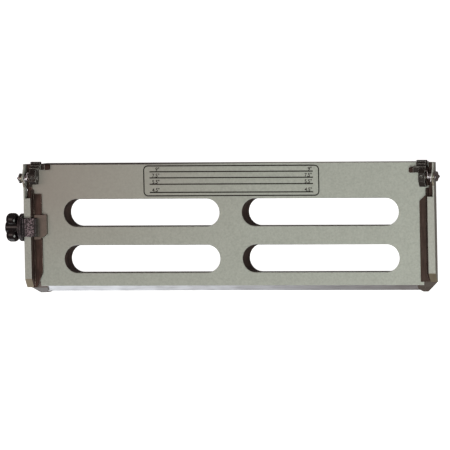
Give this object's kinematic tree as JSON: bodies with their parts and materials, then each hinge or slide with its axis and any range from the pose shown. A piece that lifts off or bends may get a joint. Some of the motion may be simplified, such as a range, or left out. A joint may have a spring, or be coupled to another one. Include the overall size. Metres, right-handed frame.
{
  "type": "darkroom copy plate",
  "caption": "Long slotted plate with raised side rails, sprung corner clamps, a sliding stop with a lobed knob, and a size scale.",
  "frame": {"origin": "centre of the casting's back rest plane, on the rest boss between the four slots", "axes": "+Z out of the front face, +X along the plate towards the plain rail, +Y towards the clamped edge"},
  "size_m": [0.3789, 0.1076, 0.0314],
  "materials": {
    "plate_paint": "satin light grey-green paint on a zinc casting, fine orange peel",
    "rail_paint": "satin warm grey paint",
    "bronze_steel": "dark bronze oxide, satin",
    "lever_iron": "dark brown-grey casting, satin",
    "tip_rubber": "brown-red rubber",
    "pin_chrome": "bright",
    "bush_brass": "nickelled brass, satin",
    "spring_steel": "drawn wire",
    "fastener_steel": "zinc plated",
    "foot_plastic": "dark grey moulded plastic",
    "crinkle_black": "black crinkle paint",
    "bare_lug": "bare grey steel, machined",
    "knob_plastic": "gloss black moulding"
  },
  "bodies": {
    "base": {"base_plate": "plate_paint", "foot_screws": "fastener_steel", "left_angle": "bronze_steel", "left_angle_rivets": "bronze_steel", "left_bracket_rivets": "bronze_steel", "left_foot": "foot_plastic", "left_hinge_bracket": "bronze_steel", "left_pivot_bush": "bush_brass", "left_rail": "rail_paint", "left_torsion_spring": "spring_steel", "rail_screws": "fastener_steel", "right_angle": "bronze_steel", "right_angle_rivets": "bronze_steel", "right_bracket_rivets": "bronze_steel", "right_foot": "foot_plastic", "right_hinge_bracket": "bronze_steel", "right_pivot_bush": "bush_brass", "right_rail": "rail_paint", "right_torsion_spring": "spring_steel"},
    "left_clamp": {"left_clamp_lever": "lever_iron", "left_lever_tip": "tip_rubber", "left_grub_screw": "lever_iron", "left_pivot_pin": "pin_chrome", "left_pivot_washer": "fastener_steel"},
    "right_clamp": {"right_clamp_lever": "lever_iron", "right_lever_tip": "tip_rubber", "right_grub_screw": "lever_iron", "right_pivot_pin": "pin_chrome", "right_pivot_washer": "fastener_steel"},
    "stop": {"stop_block": "crinkle_black", "stop_lug": "bare_lug", "lug_screws": "fastener_steel"},
    "clamp_screw": {"pressure_pad": "fastener_steel"},
    "knob": {"knob_stud": "fastener_steel", "wing_knob": "knob_plastic"}
  },
  "joints": [
    {"name": "left_clamp_swing", "type": "hinge", "parent": "base", "child": "left_clamp", "pos_m": [-0.1696, 0.04065, 0.0225], "axis": [1, 0, 0], "range_deg": [0, 28], "stiffness_Nm_per_rad": 0.03, "springref_deg": -28.65},
    {"name": "right_clamp_swing", "type": "hinge", "parent": "base", "child": "right_clamp", "pos_m": [0.1696, 0.04065, 0.0225], "axis": [1, 0, 0], "range_deg": [0, 28], "stiffness_Nm_per_rad": 0.03, "springref_deg": -28.65},
    {"name": "stop_slide", "type": "slide", "parent": "base", "child": "stop", "axis": [0, 1, 0], "range_m": [-0.032, 0.016]},
    {"name": "pad_travel", "type": "slide", "parent": "stop", "child": "clamp_screw", "axis": [-1, 0, 0], "range_m": [0, 0.00105]},
    {"name": "knob_turn", "type": "hinge", "parent": "clamp_screw", "child": "knob", "pos_m": [-0.189, 0.00035, 0.02005], "axis": [-1, 0, 0], "range_deg": [0, 540]}
  ],
  "couplings": [
    {"joint": "knob_turn", "follows": "pad_travel", "rad_per_m": 8976}
  ]
}
